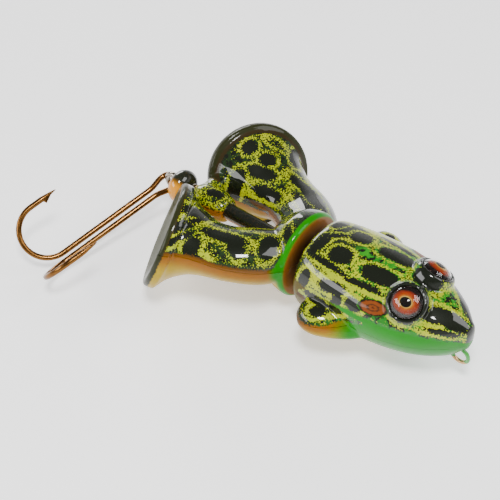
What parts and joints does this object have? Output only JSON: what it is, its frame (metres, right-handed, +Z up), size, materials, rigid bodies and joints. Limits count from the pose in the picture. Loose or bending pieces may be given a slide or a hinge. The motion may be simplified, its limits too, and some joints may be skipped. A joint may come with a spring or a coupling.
{
  "type": "frog topwater lure",
  "caption": "Hollow frog-shaped topwater fishing lure: a head and body, a leg section with cupped feet that spins on a through-wire, a tail bead and a double hook.",
  "frame": {"origin": "middle of the flat under the front body's belly, below the through-wire's axis", "axes": "+X towards the nose, along the through-wire; +Y towards the frog's left; +Z up, out of the back"},
  "size_m": [0.0946, 0.058, 0.0248],
  "materials": {
    "frog_back": "green and black spotted paint under clear gloss",
    "frog_belly": "green paint under clear gloss",
    "leg_paint": "green and black spotted paint under clear gloss",
    "leg_belly": "orange to yellow paint under clear gloss",
    "tube_paint": "gloss",
    "iris": "printed foil",
    "lens": "clear resin dome",
    "bead": "gloss",
    "steel": "drawn wire",
    "brass": "bright",
    "bronze": "bronzed hook wire",
    "lead": "dull cast metal"
  },
  "bodies": {
    "front_body": {"head_shell_upper": "frog_back", "head_shell_lower": "frog_belly", "eye_iris_left": "iris", "eye_iris_right": "iris", "eye_lens_left": "lens", "eye_lens_right": "lens", "line_tie_eye": "brass", "keel_weight": "lead", "shaft_wire": "steel", "shaft_anchor_sleeve": "brass", "body_bush": "brass", "thrust_washer": "steel"},
    "leg_section": {"leg_shell_upper": "leg_paint", "leg_shell_lower": "leg_belly", "rotor_tube": "tube_paint", "rotor_bush_front": "brass", "rotor_bush_rear": "brass"},
    "bead": {"tail_bead": "bead", "tail_washer": "steel"},
    "hook": {"double_hook": "bronze"}
  },
  "joints": [
    {"name": "leg_spin", "type": "hinge", "parent": "front_body", "child": "leg_section", "pos_m": [-0.013, 0, 0.0083], "axis": [1, 0, 0], "continuous": true},
    {"name": "bead_spin", "type": "hinge", "parent": "front_body", "child": "bead", "pos_m": [-0.045, 0, 0.0083], "axis": [1, 0, 0], "continuous": true},
    {"name": "hook_swing", "type": "hinge", "parent": "front_body", "child": "hook", "pos_m": [-0.0515, 0, 0.0083], "axis": [0, 0, -1], "range_deg": [-5, 145]}
  ]
}
